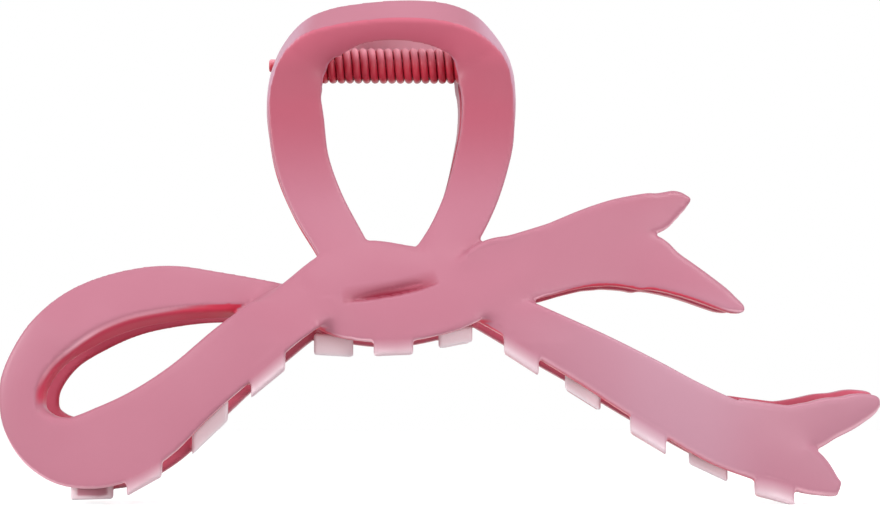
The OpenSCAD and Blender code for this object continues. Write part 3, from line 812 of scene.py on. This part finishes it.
def makeJaw(name, side, teeth):
    bm = bmesh.new()
    for route, *form in strands:
        sweep(bm, ribbonRings(shiftedBack(route) if side > 0 else route, *form))
    for rail in (lugs["leftRail"], lugs["rightRail"]):
        addBox(bm, (rail - lugs["outer"], -jaw["flatBehind"] - lugs["padDeep"], hingeZ - lugs["across"] / 2),
               (rail + lugs["outer"], -jaw["flatBehind"], hingeZ + lugs["shoulder"]))
    for place, width, hang in teeth:
        sweep(bm, toothRings(side, place, width, hang, (place, width, hang) == tooth["front"][-1]))
    bmesh.ops.recalc_face_normals(bm, faces=bm.faces)
    piece = meshObject(name, bm)
    remeshed(piece, jaw["voxel"])
    bm = bmesh.new()
    bm.from_mesh(piece.data)
    for vert in bm.verts:
        if vert.co.z > jaw["flatAbove"]:
            vert.co.y = min(vert.co.y, -jaw["flatBehind"])
    # in and out again, so that only ripples go
    smoothVerts(bm, bm.verts, jaw["smoothing"], jaw["smoothFactors"])
    raiseKnot(bm)
    easeKnot(bm)
    cutSlit(bm)
    easeBumps(bm)
    if side > 0:
        bmesh.ops.scale(bm, vec=(1, -1, 1), verts=bm.verts)
        bmesh.ops.reverse_faces(bm, faces=bm.faces)
    bmesh.ops.scale(bm, vec=(mm, mm, mm), verts=bm.verts)
    bm.to_mesh(piece.data)
    bm.free()
    thinned(piece, jaw["mostFaces"])
    markPlaces(piece, side, teeth)
    piece.data.shade_smooth()
    piece.data.materials.clear()
    piece.data.materials.append(jawPaint)
    print(name, len(piece.data.polygons), "faces")
    return piece


frontJaw = makeJaw("frontJaw", -1, tooth["front"])
backJaw = makeJaw("backJaw", 1, tooth["back"])
for piece, body in ((frontJaw, "front_jaw"), (backJaw, "back_jaw")):
    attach(piece, body)
    prefix = body.split("_")[0]
    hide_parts(*[prefix + "_" + part for part in
                         ("top_loop", "knot", "bow_loop", "upper_tail", "lower_tail", "teeth")])
    frame["nodes"][prefix + "_hinge_lugs"].data.materials.clear()
    frame["nodes"][prefix + "_hinge_lugs"].data.materials.append(jawPaint)
print("jaws made")


# pin and spring

pin = {"diameter": 2.0, "endRound": 0.35, "endSteps": 4, "sides": 40}
pinLow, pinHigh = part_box("hinge_pin")
bm = bmesh.new()
made = bmesh.ops.create_cone(bm, cap_ends=True, segments=pin["sides"], radius1=pin["diameter"] / 2 * mm,
                             radius2=pin["diameter"] / 2 * mm, depth=pinHigh.x - pinLow.x)
rims = [e for e in bm.edges if abs(e.verts[0].co.z - e.verts[1].co.z) < 1e-7]
bmesh.ops.bevel(bm, geom=rims, offset=pin["endRound"] * mm, affect="EDGES", segments=pin["endSteps"],
                profile=0.5, material=-1)
bmesh.ops.rotate(bm, cent=(0, 0, 0), matrix=Matrix.Rotation(math.pi / 2, 3, "Y"), verts=bm.verts)
bmesh.ops.translate(bm, vec=((pinHigh.x + pinLow.x) / 2, 0, hingeZ * mm), verts=bm.verts)
hingePin = meshObject("hingePin", bm)
hingePin.data.shade_smooth()
hingePin.data.materials.append(wirePaint)
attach(hingePin, "front_jaw")
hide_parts("hinge_pin")

spring = {"wire": 1.2, "coil": 5.45, "pitch": 1.243, "leg": 7.0, "lean": 13, "gap": 0.1, "endRound": 0.25,
          "endSteps": 3, "sides": 12, "stepsPerTurn": 24, "legShares": (1, 0.8, 0.6, 0.4, 0.25, 0.12)}


def springRoute():
    # up one leg, round the coils from left to right, and out along the other leg
    left = lugs["leftRail"] + lugs["outer"] + spring["gap"]
    right = lugs["rightRail"] - lugs["outer"] - spring["gap"]
    r, lean = (spring["coil"] - spring["wire"]) / 2, spring["lean"]
    first = 180 + lean
    run = right - left - spring["wire"]
    last = 360 * math.floor(run / spring["pitch"] - (180 - 2 * lean) / 360) + 360 - lean
    pitch = run / ((last - first) / 360)

    def coilAt(a):
        return Vector((left + spring["wire"] / 2 + (a - first) / 360 * pitch, r * math.cos(math.radians(a)),
                       hingeZ + r * math.sin(math.radians(a))))
    s, c = math.sin(math.radians(lean)), math.cos(math.radians(lean))
    leftLeg, rightLeg = Vector((0, -s, c)), Vector((0, s, c))
    steps = round((last - first) / 360 * spring["stepsPerTurn"])
    coils = [coilAt(first + (last - first) * i / steps) for i in range(steps + 1)]
    return ([coils[0] + leftLeg * spring["leg"] * s for s in spring["legShares"]] + coils
            + [coils[-1] + rightLeg * spring["leg"] * s for s in reversed(spring["legShares"])])


def wireRings(route, radius, sides):
    rings = []
    side = Vector((1, 0, 0))
    for i, p in enumerate(route):
        along = (route[min(i + 1, len(route) - 1)] - route[max(i - 1, 0)]).normalized()
        side = (side - along * side.dot(along)).normalized()
        other = along.cross(side)
        rings.append([p + (side * math.cos(a) + other * math.sin(a)) * radius
                      for a in (2 * math.pi * k / sides for k in range(sides))])
    return rings


bm = bmesh.new()
sweep(bm, wireRings(springRoute(), spring["wire"] / 2, spring["sides"]))
bmesh.ops.recalc_face_normals(bm, faces=bm.faces)
ends = [f for f in bm.faces if len(f.verts) == spring["sides"]]
bmesh.ops.bevel(bm, geom=[e for f in ends for e in f.edges], offset=spring["endRound"], affect="EDGES",
                segments=spring["endSteps"], profile=0.5, material=-1)
bmesh.ops.scale(bm, vec=(mm, mm, mm), verts=bm.verts)
coilSpring = meshObject("coilSpring", bm)
coilSpring.data.shade_smooth()
coilSpring.data.materials.append(wirePaint)
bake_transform(coilSpring)
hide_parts("spring")
print("pin and spring made")


# floor, light and camera

def backgroundShare(nodes, links):
    # 1 for the camera and for rays in metal, gloss and glass, 0 for the light on the object
    path = nodes.new("ShaderNodeLightPath")
    share = path.outputs["Is Camera Ray"]
    for ray in ("Is Glossy Ray", "Is Transmission Ray"):
        more = nodes.new("ShaderNodeMath")
        more.operation = "MAXIMUM"
        links.new(share, more.inputs[0])
        links.new(path.outputs[ray], more.inputs[1])
        share = more.outputs[0]
    return share


def plainFloor():
    floor = {"size": 6.0, "colour": (0.6, 0.6, 0.6), "roughness": 0.9, "glow": 0.8}
    bm = bmesh.new()
    bmesh.ops.create_grid(bm, x_segments=1, y_segments=1, size=floor["size"] / 2)
    piece = meshObject("floor", bm)
    material, nodes, links, shader = newMaterial("floorPaper")
    shader.inputs["Base Color"].default_value = (*floor["colour"], 1)
    shader.inputs["Roughness"].default_value = floor["roughness"]
    glow = nodes.new("ShaderNodeMath")
    glow.operation = "MULTIPLY"
    glow.inputs[1].default_value = floor["glow"]
    links.new(backgroundShare(nodes, links), glow.inputs[0])
    shader.inputs["Emission Color"].default_value = (1, 1, 1, 1)
    links.new(glow.outputs[0], shader.inputs["Emission Strength"])
    piece.data.materials.append(material)


def whiteRoom(strength):
    world = bpy.data.worlds.new("whiteRoom")
    scene.world = world
    world.use_nodes = True
    nodes, links = world.node_tree.nodes, world.node_tree.links
    nodes.clear()
    lit, seen = nodes.new("ShaderNodeBackground"), nodes.new("ShaderNodeBackground")
    lit.inputs["Color"].default_value = (1, 1, 1, 1)
    lit.inputs["Strength"].default_value = strength
    seen.inputs["Color"].default_value = (1, 1, 1, 1)
    seen.inputs["Strength"].default_value = 1
    mix = nodes.new("ShaderNodeMixShader")
    output = nodes.new("ShaderNodeOutputWorld")
    links.new(backgroundShare(nodes, links), mix.inputs["Fac"])
    links.new(lit.outputs[0], mix.inputs[1])
    links.new(seen.outputs[0], mix.inputs[2])
    links.new(mix.outputs[0], output.inputs["Surface"])


# round soft lamps: degrees from the front to the right, degrees up, distance and width in m, power in W
lamps = {"leftSide": (-60, 15, 0.9, 0.35, 4.3), "rightHigh": (55, 45, 0.9, 0.35, 3.1),
         "frontHigh": (0, 65, 0.9, 0.35, 0.7), "above": (0, 88, 0.9, 0.35, 0.4),
         "rightLow": (42, 5, 0.8, 0.2, 1.2), "frontLow": (0, 6, 0.9, 0.3, 0.5)}
room = {"strength": 0.3, "middle": (0, 0, 0.035)}


def softBox(name, azimuth, height, away, size, power):
    lamp = bpy.data.lights.new(name, "AREA")
    lamp.shape = "DISK"
    lamp.size = size
    lamp.energy = power
    turn, rise = math.radians(azimuth), math.radians(height)
    out = Vector((math.sin(turn) * math.cos(rise), -math.cos(turn) * math.cos(rise), math.sin(rise)))
    holder = bpy.data.objects.new(name, lamp)
    holder.location = Vector(room["middle"]) + out * away
    holder.rotation_euler = (-out).to_track_quat("-Z", "Y").to_euler()
    scene.collection.objects.link(holder)


plainFloor()
whiteRoom(room["strength"])
for name, values in lamps.items():
    softBox(name, *values)

view = {"place": (-0.0085, -0.5, 0.0127), "aim": (0.0, -0.014, 0.0373), "lens": 134.4, "sensor": 36,
        "clip": (0.01, 20)}
camera = bpy.data.cameras.new("camera")
camera.lens = view["lens"]
camera.sensor_width = view["sensor"]
camera.clip_start, camera.clip_end = view["clip"]
cameraHolder = bpy.data.objects.new("camera", camera)
cameraHolder.location = view["place"]
looking = Vector(view["aim"]) - Vector(view["place"])
cameraHolder.rotation_euler = looking.to_track_quat("-Z", "Y").to_euler()
scene.collection.objects.link(cameraHolder)
scene.camera = cameraHolder
scene.view_settings.view_transform = "Standard"
print("floor, light and camera made")
